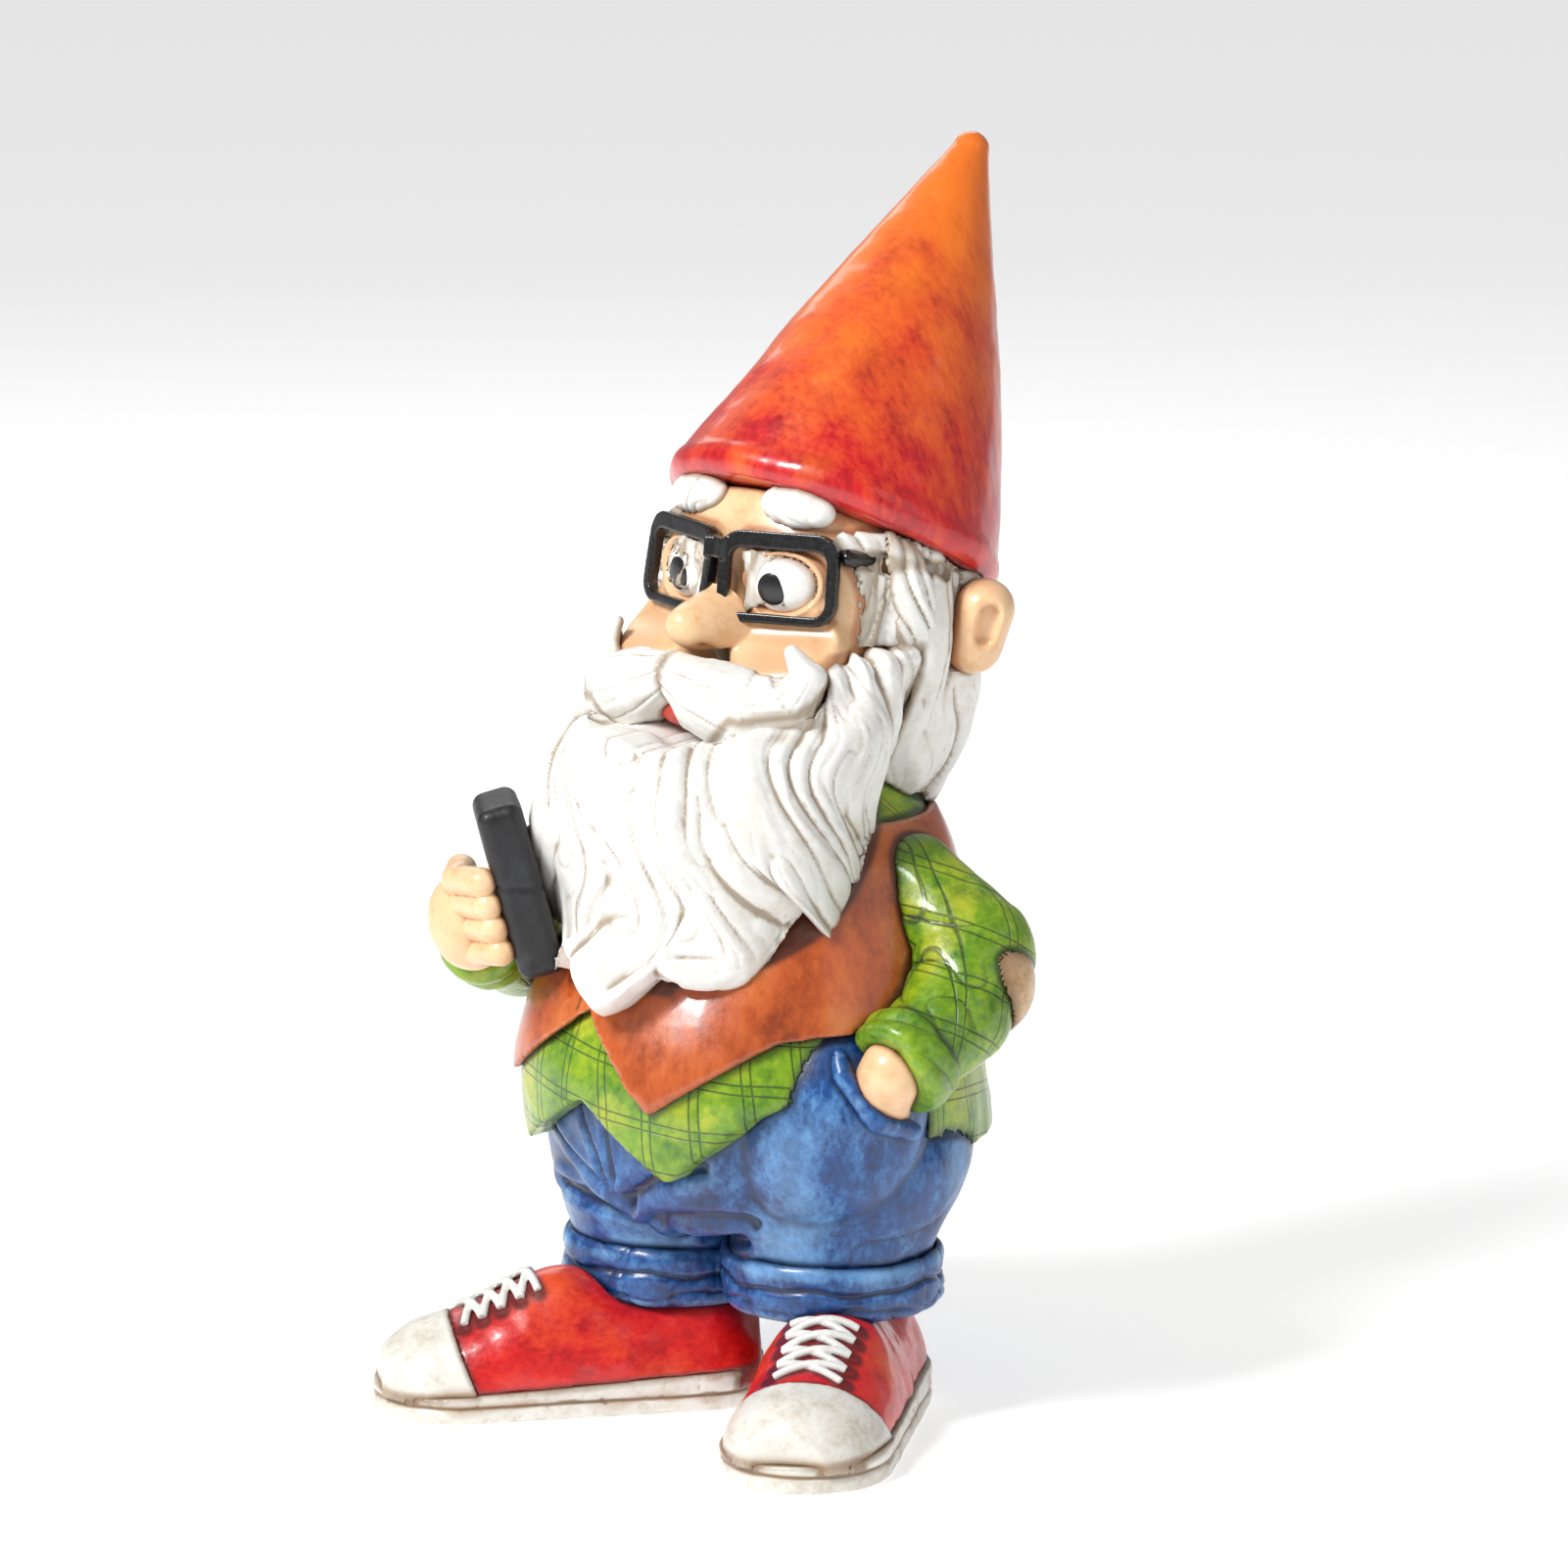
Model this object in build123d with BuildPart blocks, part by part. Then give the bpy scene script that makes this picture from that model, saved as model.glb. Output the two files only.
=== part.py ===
"""A standing garden gnome, hand-painted cast resin, modelled as the castings and
colour pieces that it is put together from. Millimetres, +Z up. The gnome faces -Y
and its left hand is on the +X side. The origin is the middle of the box around the
figure, at ground level."""

import math
import os

from build123d import *

# ---- Driving dimensions -------------------------------------------------------

SKULL_CENTRE = (0, 31, 155)
SKULL_GIRTH = 29
SKULL_REACH = 34

HAT_BASE = (0, 31.7, 166)
HAT_TILT = 30  # degrees that the hat leans back
HAT_RADIUS = 33.6
HAT_LENGTH = 86
HAT_TIP_RADIUS = 3.5
HAT_RIM_HEIGHT = 6.5
HAT_BULGE = 0.8  # how far its sides stand out from straight

HEM_Z = 52  # lowest points of the shirt
NECK_Z = 126
VEST_THICKNESS = 2.2

SHOE_LENGTH = 76
SHOE_TOE_RADIUS = 16.4
SHOE_HEEL_RADIUS = 13.5
SOLE_TOE_HEIGHT = 5
SOLE_HEEL_HEIGHT = 9
SHOE_HEELS = {"left": (15, 29), "right": (1.5, 10.5)}
SHOE_TURN = {"left": 28.5, "right": -40}  # degrees that each toe turns out

LEG_FOOT = {"left": (22, 8), "right": (-17, 4.5)}
LEG_BOTTOM = {"left": 24, "right": 21}
CUFF_RADIUS = 21.5
CUFF_HEIGHT = 11

EYE_CENTRE = (12.5, 6, 162)
EYE_RADIUS = 5.4
PUPIL_RADIUS = 2.7
PUPIL_SETTING = 3.7  # from the middle of the eye to the middle of the pupil
GLASSES_CENTRE = (0, 1, 163.5)
GLASSES_WRAP = 19  # degrees that each rim turns back from the bridge
GLASSES_TILT = 10  # degrees that their top leans back
LENS_SIZE = (24.4, 17.5)
RIM_WIDTH = 2.2

PHONE_SIZE = (19, 8.5, 34)  # across, thick, tall
PHONE_CENTRE = (-27, -27.7, 103.6)

SIDES = {"left": 1, "right": -1}

pieces = {}


# ---- Shapes that several pieces are made from ----------------------------------


def stack(levels):
    """A solid through level ellipses, each (z, x, y, half width, half depth)."""
    with BuildPart() as body:
        for z, x, y, half_width, half_depth in levels:
            with BuildSketch(Plane.XY.offset(z)):
                with Locations((x, y)):
                    Ellipse(half_width, half_depth)
        loft()
    return body.part


def limb(stations):
    """A round solid through stations, each (point, radius): cones between balls."""
    with BuildPart() as body:
        for (start, radius), (end, end_radius) in zip(stations, stations[1:]):
            first, last = Vector(*start), Vector(*end)
            with BuildPart(Plane(origin=first, z_dir=last - first), mode=Mode.PRIVATE) as cone:
                length = (last - first).length
                bottom = (Align.CENTER, Align.CENTER, Align.MIN)
                Cone(radius, end_radius, length, align=bottom)
            add(cone.part)
        for point, radius in stations:
            with Locations(point):
                Sphere(radius)
    return body.part


def egg(centre, girth, reach, axis=(0, 0, 1)):
    """An egg of radius girth round its axis and half length reach along it."""
    with BuildPart() as ball:
        with BuildSketch(Plane.XZ):
            with BuildLine():
                EllipticalCenterArc((0, 0), girth, reach, start_angle=-90, arc_size=180)
                Line((0, reach), (0, -reach))
            make_face()
        revolve(axis=Axis.Z)
    return ball.part.moved(Plane(origin=centre, z_dir=axis).location)


def capsule(start, end, radius):
    """A finger-like rod; start and end are the middles of its round ends."""
    first, last = Vector(*start), Vector(*end)
    length = (last - first).length
    with BuildPart() as rod:
        with BuildSketch(Plane.XZ):
            with BuildLine():
                RadiusArc((0, -radius), (radius, 0), -radius)
                Line((radius, 0), (radius, length))
                RadiusArc((radius, length), (0, length + radius), -radius)
                Line((0, length + radius), (0, -radius))
            make_face()
        revolve(axis=Axis.Z)
    place = Plane(origin=first, z_dir=last - first)
    return rod.part.moved(place.location)


def keep(name, part):
    """Labels a finished piece and puts it among those that are written."""
    part.label = name
    pieces[name] = part
    return part


def without(blank, others):
    """A blank less its neighbours, so that they meet face to face."""
    with BuildPart() as rest:
        add(blank)
        for other in others:
            add(other, mode=Mode.SUBTRACT)
    return max(rest.part.solids(), key=lambda solid: solid.volume)


# ---- Jeans: seat, legs, turn-ups and the pocket edge ----------------------------

SEAT_LEVELS = [
    (36, 1, 11, 24, 19),
    (42, 1, 11, 36, 31),
    (54, 0, 12, 41.5, 39),
    (68, 0, 12, 43, 40),
    (82, 0, 11, 40, 37),
]


def build_jeans():
    seat = stack(SEAT_LEVELS)
    hip = egg((27, 0, 62), 20.5, 24)
    with BuildPart() as jeans:
        add(seat)
        for side, sign in SIDES.items():
            x, y = LEG_FOOT[side]
            levels = [
                (LEG_BOTTOM[side], x, y, 18.5, 18.5),
                (34, x, y, 20, 20),
                (48, x + 1.5 * sign, y + 2, 23, 25),
                (62, x + sign, y + 2, 20, 24),
            ]
            add(stack(levels))
        add(hip)
    return keep("jeans", jeans.part)


def build_turn_up(side, others):
    """The rolled hem round one ankle: a wide band with a soft roll at its top."""
    x, y = LEG_FOOT[side]
    bottom = LEG_BOTTOM[side] - 1
    with BuildPart() as roll:
        with BuildSketch(Plane.XZ.offset(-y)):
            with Locations((x + CUFF_RADIUS - 3, bottom + CUFF_HEIGHT / 2)):
                RectangleRounded(6, CUFF_HEIGHT, 2.4)
            with Locations((x + CUFF_RADIUS - 3, bottom + CUFF_HEIGHT - 2)):
                Circle(3)
        revolve(axis=Axis((x, y, 0), (0, 0, 1)))
    return keep(f"turn_up_{side}", without(roll.part, others))


# ---- Shoes ----------------------------------------------------------------------


def shoe_plane(side):
    """The ground under one shoe: origin at the back of the heel, toes along -Y."""
    turn = math.radians(SHOE_TURN[side])
    return Plane(
        origin=(*SHOE_HEELS[side], 0),
        x_dir=(math.cos(turn), math.sin(turn), 0),
        z_dir=(0, 0, 1),
    )


def build_sole(side):
    ground = shoe_plane(side)
    with BuildPart() as sole:
        with BuildSketch(ground):
            with Locations((0, -SHOE_HEEL_RADIUS)):
                Circle(SHOE_HEEL_RADIUS)
            with Locations((0, SHOE_TOE_RADIUS - SHOE_LENGTH)):
                Circle(SHOE_TOE_RADIUS)
            make_hull()
        extrude(amount=SOLE_HEEL_HEIGHT)
        # The top slopes down from the heel to the toes.
        slope = math.degrees(math.atan2(SOLE_HEEL_HEIGHT - SOLE_TOE_HEIGHT, SHOE_LENGTH))
        top = ground.offset(SOLE_TOE_HEIGHT).shift_origin(
            ground.offset(SOLE_TOE_HEIGHT).from_local_coords((0, -SHOE_LENGTH, 0))
        )
        split(bisect_by=top.rotated((slope, 0, 0)), keep=Keep.BOTTOM)
        fillet(sole.faces().sort_by(Axis.Z)[0].edges(), 0.8)
    return keep(f"sole_{side}", sole.part)


# Each is (distance from the heel, half width, height) of a section of the upper.
UPPER_SECTIONS = [
    (0.8, 7, 16),
    (6, 11.4, 21),
    (20, 13.2, 23),
    (34, 14.2, 25.5),
    (44, 14.8, 25.5),
    (54, 15.1, 20.5),
    (63, 14.6, 17),
    (70.5, 11.8, 14),
    (74.8, 7, 10),
]
TOE_CAP_START = 56.5  # along the shoe, where its edge meets the sole
TOE_CAP_LEAN = 28  # degrees that the edge leans towards the toes


def upper_blank(side, grow):
    """The whole upper, heel to toe, with every section larger by grow."""
    ground = shoe_plane(side)
    with BuildPart() as blank:
        for distance, half_width, height in UPPER_SECTIONS:
            origin = ground.from_local_coords((0, -distance, SOLE_TOE_HEIGHT - 1))
            section = Plane(origin=origin, x_dir=ground.x_dir, z_dir=-ground.y_dir)
            with BuildSketch(section):
                with BuildLine():
                    EllipticalCenterArc(
                        (0, 0), half_width + grow, height + grow - 4, arc_size=180
                    )
                    Line((-half_width - grow, 0), (half_width + grow, 0))
                make_face()
        loft()
    return blank.part


def build_upper(side, others):
    """The red upper, and the toe cap that covers its front a little proud of it."""
    ground = shoe_plane(side)
    cut = Plane(
        origin=ground.from_local_coords((0, -TOE_CAP_START, SOLE_TOE_HEIGHT)),
        x_dir=ground.x_dir,
        z_dir=-ground.y_dir,
    ).rotated((TOE_CAP_LEAN, 0, 0))
    with BuildPart() as upper:
        add(upper_blank(side, 0))
        split(bisect_by=cut, keep=Keep.BOTTOM)
    with BuildPart() as toe_cap:
        add(upper_blank(side, 0.7))
        split(bisect_by=cut, keep=Keep.TOP)
    keep(f"toe_cap_{side}", without(toe_cap.part, others))
    return keep(f"shoe_upper_{side}", without(upper.part, others))


LACE_ROWS = 4
LACE_RADIUS = 1.1
LACE_START = 46.5
LACE_STEP = 3.6
LACE_TOP = 25.6
LACE_SLOPE = 0.5  # how fast the instep falls towards the toes


def build_laces(side, others):
    """Crossing laces over the instep: one bent cord for each row and way."""
    ground = shoe_plane(side)
    with BuildPart() as laces:
        for row in range(LACE_ROWS):
            along = LACE_START + row * LACE_STEP
            top = LACE_TOP - row * LACE_STEP * LACE_SLOPE
            for way in (1, -1):
                start = ground.from_local_coords((way * -7.5, -along - 1.8, top - 3.4))
                middle = ground.from_local_coords((0, -along, top))
                end = ground.from_local_coords((way * 7.5, -along + 1.8, top - 2))
                add(capsule(tuple(start), tuple(middle), LACE_RADIUS))
                add(capsule(tuple(middle), tuple(end), LACE_RADIUS))
    return keep(f"laces_{side}", without(laces.part, others))


# ---- Shirt and vest --------------------------------------------------------------

TORSO_LEVELS = [
    (HEM_Z - 6, 0, 12, 45.5, 44),
    (62, 0, 10, 45.5, 44.5),
    (76, 0, 10, 43.5, 42.5),
    (92, 0, 13, 38.5, 37),
    (106, 0, 17, 33.5, 30),
    (116, 0, 22, 26, 23),
    (NECK_Z, 0, 25, 18, 16),
]
# The hem in front, as (x, z) seen from the front: two points and a notch between them.
SHIRT_FRONT_HEM = [(-60, 70), (-44, 58), (-30, 52), (-5, 66), (14, 52), (30, 66), (60, 82)]
SHIRT_BACK_HEM = [(-60, 68), (-44, 56), (0, 52), (44, 54), (60, 66)]
VEST_FRONT_HEM = [(-60, 86), (-44, 72), (-30, 66), (-5, 83), (13, 66), (32, 80), (60, 84)]
VEST_BACK_HEM = [(-60, 84), (0, 76), (60, 84)]


def below_hem(hem, facing):
    """Everything under a hem line, on the front (-1) or back (1) half of the body."""
    with BuildPart() as waste:
        with BuildSketch(Plane.XZ.offset(-9)):
            with BuildLine():
                Polyline(*hem, (60, 20), (-60, 20), close=True)
            make_face()
        extrude(amount=-70 * facing)
    return waste.part


def build_shirt(jeans):
    with BuildPart() as shirt:
        add(stack(TORSO_LEVELS))
        add(below_hem(SHIRT_FRONT_HEM, -1), mode=Mode.SUBTRACT)
        add(below_hem(SHIRT_BACK_HEM, 1), mode=Mode.SUBTRACT)
    return keep("shirt", without(shirt.part, [jeans]))


def vest_blank():
    """The torso, grown by the thickness of the vest, up to the shoulders."""
    t = VEST_THICKNESS
    return stack([(z, x, y, rx + t, ry + t) for z, x, y, rx, ry in TORSO_LEVELS[:-1]])


def build_vest(jeans):
    with BuildPart() as vest:
        add(vest_blank())
        add(below_hem(VEST_FRONT_HEM, -1), mode=Mode.SUBTRACT)
        add(below_hem(VEST_BACK_HEM, 1), mode=Mode.SUBTRACT)
    return keep("vest", without(vest.part, [stack(TORSO_LEVELS), jeans]))


# ---- Arms, hands and phone ---------------------------------------------------------

SLEEVE_STATIONS = {
    "left": [
        ((31, 20, 104.5), 9.5),
        ((46, 21, 93), 11.6),
        ((49.5, 12, 83.5), 11),
        ((50, 1.5, 78.5), 9.4),
    ],
    "right": [
        ((-29, 19, 104.5), 10),
        ((-46.5, 13, 89), 12),
        ((-47, -6, 84.5), 10.2),
        ((-43.5, -16.5, 87), 8.4),
    ],
}
WRIST_END = {"left": (49.2, -5.5, 75), "right": (-40.8, -23.5, 91)}
PATCH_CENTRE = {"left": (50.4, 19, 88), "right": (-50, 6.5, 84)}
PATCH_SIZE = (9.8, 10.6)
CUFF_SWELL = 0.9  # how much thicker the band at the wrist is than the sleeve


def build_sleeve(side, others):
    return keep(f"sleeve_{side}", without(limb(SLEEVE_STATIONS[side]), others))


def build_sleeve_cuff(side, others):
    """The gathered band at the wrist."""
    start, radius = SLEEVE_STATIONS[side][-1]
    across = Vector(*WRIST_END[side]) - Vector(*start)
    with BuildPart() as band:
        Cylinder(radius + CUFF_SWELL, across.length)
        fillet(band.edges().filter_by(GeomType.CIRCLE), 2)
    place = Plane(origin=Vector(*start) + across / 2, z_dir=across)
    return keep(f"sleeve_cuff_{side}", without(band.part.moved(place.location), others))


def build_elbow_patch(side, others):
    """An oval patch glued over the point of the elbow."""
    patch = egg(PATCH_CENTRE[side], *PATCH_SIZE)
    return keep(f"elbow_patch_{side}", without(patch, others))


POCKET_EDGE = [
    ((36, -8, 81.5), 1.6),
    ((41.6, -11.2, 74), 1.8),
    ((47.8, -8.2, 65.4), 2.0),
    ((48.2, 1.2, 62), 1.7),
]


def build_pocket_welt(others):
    """The raised seam along the mouth of the left front pocket."""
    return keep("pocket_welt", without(limb(POCKET_EDGE), others))


def build_pocket_hand(others):
    """The left hand, seen only from the wrist down to the pocket's mouth."""
    hand = capsule(WRIST_END["left"], (41.5, -1.8, 66), 6.2)
    return keep("hand_left", without(hand, others))


def phone_plane():
    """The phone's own axes: X across, Y through its thickness, Z up its length."""
    across = Vector(0.74, -0.67, 0)
    lean = Vector(-0.17, -0.19, 0.96).normalized()
    return Plane(origin=PHONE_CENTRE, x_dir=across, z_dir=lean)


def build_phone():
    with BuildPart(phone_plane()) as phone:
        Box(*PHONE_SIZE)
        fillet(phone.edges(), 2.2)
    return keep("phone", phone.part)


FINGER_RADIUS = 2.9
FINGER_STEP = 4.7


def build_phone_hand(others):
    """The right hand: a palm, four fingers round the phone's back and the thumb."""
    place = phone_plane()
    across, thick, _ = PHONE_SIZE
    back = -thick / 2 - FINGER_RADIUS + 0.6
    wrist = place.from_local_coords((-6, back - 4, -8))
    with BuildPart() as hand:
        palm = place.from_local_coords((-5.5, back - 4.6, -6))
        add(egg(tuple(palm), 7.5, 9.5, tuple(place.z_dir)))
        add(capsule(WRIST_END["right"], tuple(wrist), 6.2))
        for row in range(4):
            level = 3.6 - row * FINGER_STEP
            root = place.from_local_coords((-8, back - 3.2, level))
            knuckle = place.from_local_coords((-1, back - 4.4, level))
            tip = place.from_local_coords((across / 2 - 3, back - 0.2, level))
            add(capsule(tuple(root), tuple(knuckle), FINGER_RADIUS))
            add(capsule(tuple(knuckle), tuple(tip), FINGER_RADIUS - 0.2))
        thumb_root = place.from_local_coords((-across / 2 - 1, back, -6))
        thumb_turn = place.from_local_coords((-across / 2 - 2, 0, 2))
        thumb_tip = place.from_local_coords((-2, thick / 2 + 1.8, 7))
        add(capsule(tuple(thumb_root), tuple(thumb_turn), 3.4))
        add(capsule(tuple(thumb_turn), tuple(thumb_tip), 2.8))
    return keep("hand_right", without(hand.part, others))


# ---- Head --------------------------------------------------------------------------


def build_head(shirt):
    """Skull, face, cheeks, nose and neck, all one casting in skin colour. The skull
    is flat where the hat stands on it."""
    with BuildPart() as head:
        add(egg(SKULL_CENTRE, SKULL_GIRTH, SKULL_REACH))
        add(egg((0, 16, 157), 26, 14.6, (0, 1, 0)))
        for sign in SIDES.values():
            add(egg((sign * 14.5, 4.5, 147.5), 11.5, 12, (1, 0, 0)))
            add(egg((sign * 5.2, -6.4, 153.5), 3.4, 3.6))
        add(egg((0, -5.5, 155.5), 6.4, 8, (0, 1, 0)))
        add(egg((0, 1.5, 161), 5, 9))
        add(stack([(NECK_Z - 4, 0, 25, 20, 18), (140, 0, 27, 24, 20)]))
        split(bisect_by=hat_plane(), keep=Keep.BOTTOM)
    return keep("head", without(head.part, [shirt]))


def hat_plane():
    """The leaning plane that the rim of the hat lies in."""
    lean = math.radians(HAT_TILT)
    return Plane(
        origin=HAT_BASE, x_dir=(1, 0, 0), z_dir=(0, math.sin(lean), math.cos(lean))
    )


def build_hat():
    """A tall cone with a rolled rim, round at its tip and leaning back."""
    rim, tip, length = HAT_RADIUS, HAT_TIP_RADIUS, HAT_LENGTH
    low, high = HAT_RIM_HEIGHT, length - tip
    side = []
    for share in (0, 0.25, 0.5, 0.75, 1):
        bulge = HAT_BULGE * 4 * share * (1 - share)
        radius = (rim - 1.2) * (1 - share) + tip * share + bulge
        side.append((radius, low + (high - low) * share))
    round_off = tip * math.sqrt(0.5)
    with BuildPart() as hat:
        with BuildSketch(Plane.XZ):
            with BuildLine():
                Line((0, 0), (rim - 2, 0))
                ThreePointArc((rim - 2, 0), (rim, low / 2), side[0])
                Polyline(*side)
                ThreePointArc(side[-1], (round_off, high + round_off), (0, length))
                Line((0, length), (0, 0))
            make_face()
        revolve(axis=Axis.Z)
    return keep("hat", hat.part.moved(hat_plane().location))


def build_ear(side, others):
    """A rounded ear with the hollow of its bowl."""
    sign = SIDES[side]
    with BuildPart() as ear:
        add(capsule((sign * 31.5, 37.5, 148.5), (sign * 33.8, 38.3, 155.5), 5.6))
        bowl = capsule((sign * 37.5, 34.5, 150.5), (sign * 38.2, 34.9, 155), 2.6)
        add(bowl, mode=Mode.SUBTRACT)
    return keep(f"ear_{side}", without(ear.part, others))


def build_eye(side, others):
    """A white ball with a black one set in it, both just out of the face."""
    sign = SIDES[side]
    x, y, z = EYE_CENTRE
    with BuildPart() as ball:
        with Locations((sign * x, y, z)):
            Sphere(EYE_RADIUS)
    with BuildPart() as dot:
        with Locations((sign * x, y - PUPIL_SETTING, z)):
            Sphere(PUPIL_RADIUS)
    white = without(ball.part, others)
    keep(f"pupil_{side}", without(dot.part, [white, *others]))
    return keep(f"eye_{side}", white)


def build_eyebrow(side, others):
    sign = SIDES[side]
    brow = egg((sign * 12.5, 8.6, 176.5), 3.6, 6.4, (1, sign * 0.25, sign * -0.14))
    return keep(f"eyebrow_{side}", without(brow, others))


def build_glasses(others):
    """Thick square rims on one bridge."""
    width, height = LENS_SIZE
    opening = (width - 2 * RIM_WIDTH, height - 2 * RIM_WIDTH - 1)
    wrap, tilt = math.radians(GLASSES_WRAP), math.radians(GLASSES_TILT)
    with BuildPart() as front:
        for sign in SIDES.values():
            outward = (sign * math.sin(wrap), -math.cos(wrap), math.tan(tilt))
            along = (math.cos(wrap), sign * math.sin(wrap), 0)
            with BuildSketch(Plane(origin=GLASSES_CENTRE, x_dir=along, z_dir=outward)):
                with Locations((sign * (width / 2 + 1), 0)):
                    RectangleRounded(width, height, 4.2)
                with Locations((sign * (width / 2 + 1), -0.5)):
                    RectangleRounded(*opening, 2.8, mode=Mode.SUBTRACT)
                with Locations((sign * 1, height / 2 - 4)):
                    Rectangle(4, 4.4)
            extrude(amount=2.6)
    return keep("glasses_front", without(front.part, others))


def build_glasses_arm(side, others):
    """The arm from the outer top corner of the rim back over the ear."""
    sign = SIDES[side]
    arm = capsule((sign * 24.6, 10.2, 167.8), (sign * 31, 30, 163.5), 1.6)
    return keep(f"glasses_arm_{side}", without(arm, others))


MOUSTACHE_STATIONS = [
    ((0.6, -12.6, 145.5), 4),
    ((8, -12.4, 142.5), 6),
    ((16, -9, 139.4), 6.4),
    ((22.5, -5, 141), 5.2),
    ((25, -2.4, 146.4), 3.4),
    ((22.6, -4.4, 151.6), 1.3),
]


def build_moustache(side, others):
    sign = SIDES[side]
    stations = [((sign * x, y, z), r) for (x, y, z), r in MOUSTACHE_STATIONS]
    return keep(f"moustache_{side}", without(limb(stations), others))


def build_lip(others):
    lip = egg((0, -10.5, 138.8), 3, 5, (1, 0, 0))
    return keep("lip", without(lip, others))


BEARD_LEVELS = [
    (88, 0, -27, 12, 8),
    (93, 0, -17, 24, 17),
    (103, 0, -6, 33, 26),
    (118, 0, -4, 35, 31),
    (130, 0, 0, 35, 31),
    (142, 0, 10, 34, 27),
    (150, 0, 16, 33, 22),
]


def build_beard(others):
    """The whole front beard and the whiskers up to the rim of the hat."""
    with BuildPart() as beard:
        add(stack(BEARD_LEVELS))
        add(egg((0, 23, 156), 29.5, 11, (0, 1, 0)))
        # The face stands clear of it, in a round window.
        with BuildPart(mode=Mode.PRIVATE) as window:
            with BuildSketch(Plane.XZ.offset(-16)):
                with Locations((0, 158)):
                    Ellipse(24, 27)
            extrude(amount=60)
        add(window.part, mode=Mode.SUBTRACT)
    return keep("beard", without(beard.part, others))


HAIR_LEVELS = [
    (112, 0, 35, 18, 12),
    (122, 0, 34, 25, 18),
    (140, 0, 31.5, 31, 27),
    (158, 0, 31, 32, 30.5),
    (172, 0, 33, 30, 30),
]


def build_hair(others):
    """The hair behind the ears, down to the collar."""
    hair = stack(HAIR_LEVELS)
    return keep("hair", without(hair, others))


# ---- Build everything --------------------------------------------------------------

jeans = build_jeans()
turn_up_left = build_turn_up("left", [jeans])
turn_up_right = build_turn_up("right", [jeans, turn_up_left])
for side in SIDES:
    turn_up = pieces[f"turn_up_{side}"]
    sole = build_sole(side)
    upper = build_upper(side, [sole, jeans, turn_up_left, turn_up_right])
    build_laces(side, [upper, pieces[f"toe_cap_{side}"], turn_up, jeans])
shirt = build_shirt(jeans)
build_vest(jeans)
body = [vest_blank(), jeans]

phone = build_phone()
for side in SIDES:
    sleeve = build_sleeve(side, [phone, *body])
    cuff = build_sleeve_cuff(side, [sleeve, phone, *body])
    build_elbow_patch(side, [sleeve, *body])
arms = [pieces[f"{name}_{side}"] for name in ("sleeve", "sleeve_cuff") for side in SIDES]
welt = build_pocket_welt([*arms, *body])
build_pocket_hand([welt, *arms, *body])
hand_right = build_phone_hand([phone, *arms, *body])

head = build_head(shirt)
hat = build_hat()
glasses = build_glasses([head])
for side in SIDES:
    build_glasses_arm(side, [glasses, head, hat])
    build_ear(side, [head, hat, pieces[f"glasses_arm_{side}"]])
    build_eye(side, [head, glasses])
    build_eyebrow(side, [head, hat])
moustache_left = build_moustache("left", [head, glasses])
moustache_right = build_moustache("right", [head, glasses, moustache_left])
lip = build_lip([head, moustache_left, moustache_right])
face = [head, hat, glasses, lip, moustache_left, moustache_right]
for name in ("ear", "glasses_arm"):
    face += [pieces[f"{name}_{side}"] for side in SIDES]
beard = build_beard([*face, phone, hand_right, *arms, *body, shirt])
build_hair([*face, beard, *arms, *body, shirt])

# Everything moves together, so that the middle of the box is over the origin.
box = jeans.bounding_box()
for part in pieces.values():
    box = box.add(part.bounding_box())
middle = box.center()
centring = Location((-middle.X, -middle.Y, -box.min.Z))

os.makedirs("parts", exist_ok=True)
for name, part in pieces.items():
    placed = part.moved(centring)
    placed.label = name
    export_step(placed, f"parts/{name}.step")
    print(name, round(part.volume), placed.is_valid)
print("moved by", centring.position, "box", box.size)
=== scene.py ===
import math

import bmesh
import bpy
import numpy as np
from mathutils import Matrix, Vector
from mathutils.bvhtree import BVHTree


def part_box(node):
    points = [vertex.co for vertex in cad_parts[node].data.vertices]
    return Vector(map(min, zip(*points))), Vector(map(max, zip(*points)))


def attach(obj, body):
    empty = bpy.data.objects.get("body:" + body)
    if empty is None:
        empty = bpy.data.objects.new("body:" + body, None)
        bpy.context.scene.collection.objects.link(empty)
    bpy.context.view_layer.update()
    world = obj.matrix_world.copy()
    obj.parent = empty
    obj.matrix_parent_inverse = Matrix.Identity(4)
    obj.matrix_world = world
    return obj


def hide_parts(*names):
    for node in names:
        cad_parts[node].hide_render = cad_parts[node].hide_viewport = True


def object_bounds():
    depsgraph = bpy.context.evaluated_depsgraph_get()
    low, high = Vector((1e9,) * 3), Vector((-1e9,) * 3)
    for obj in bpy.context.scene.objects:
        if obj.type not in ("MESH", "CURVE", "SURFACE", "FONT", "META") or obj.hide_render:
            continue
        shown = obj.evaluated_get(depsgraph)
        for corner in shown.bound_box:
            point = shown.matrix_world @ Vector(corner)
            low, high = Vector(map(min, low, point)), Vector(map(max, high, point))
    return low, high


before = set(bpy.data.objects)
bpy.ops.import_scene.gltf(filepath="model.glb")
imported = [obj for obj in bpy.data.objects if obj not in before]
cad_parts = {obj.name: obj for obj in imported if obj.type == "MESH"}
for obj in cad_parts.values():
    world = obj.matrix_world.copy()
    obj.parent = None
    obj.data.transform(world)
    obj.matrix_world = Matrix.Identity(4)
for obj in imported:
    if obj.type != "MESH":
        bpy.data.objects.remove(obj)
cad_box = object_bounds()
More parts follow.
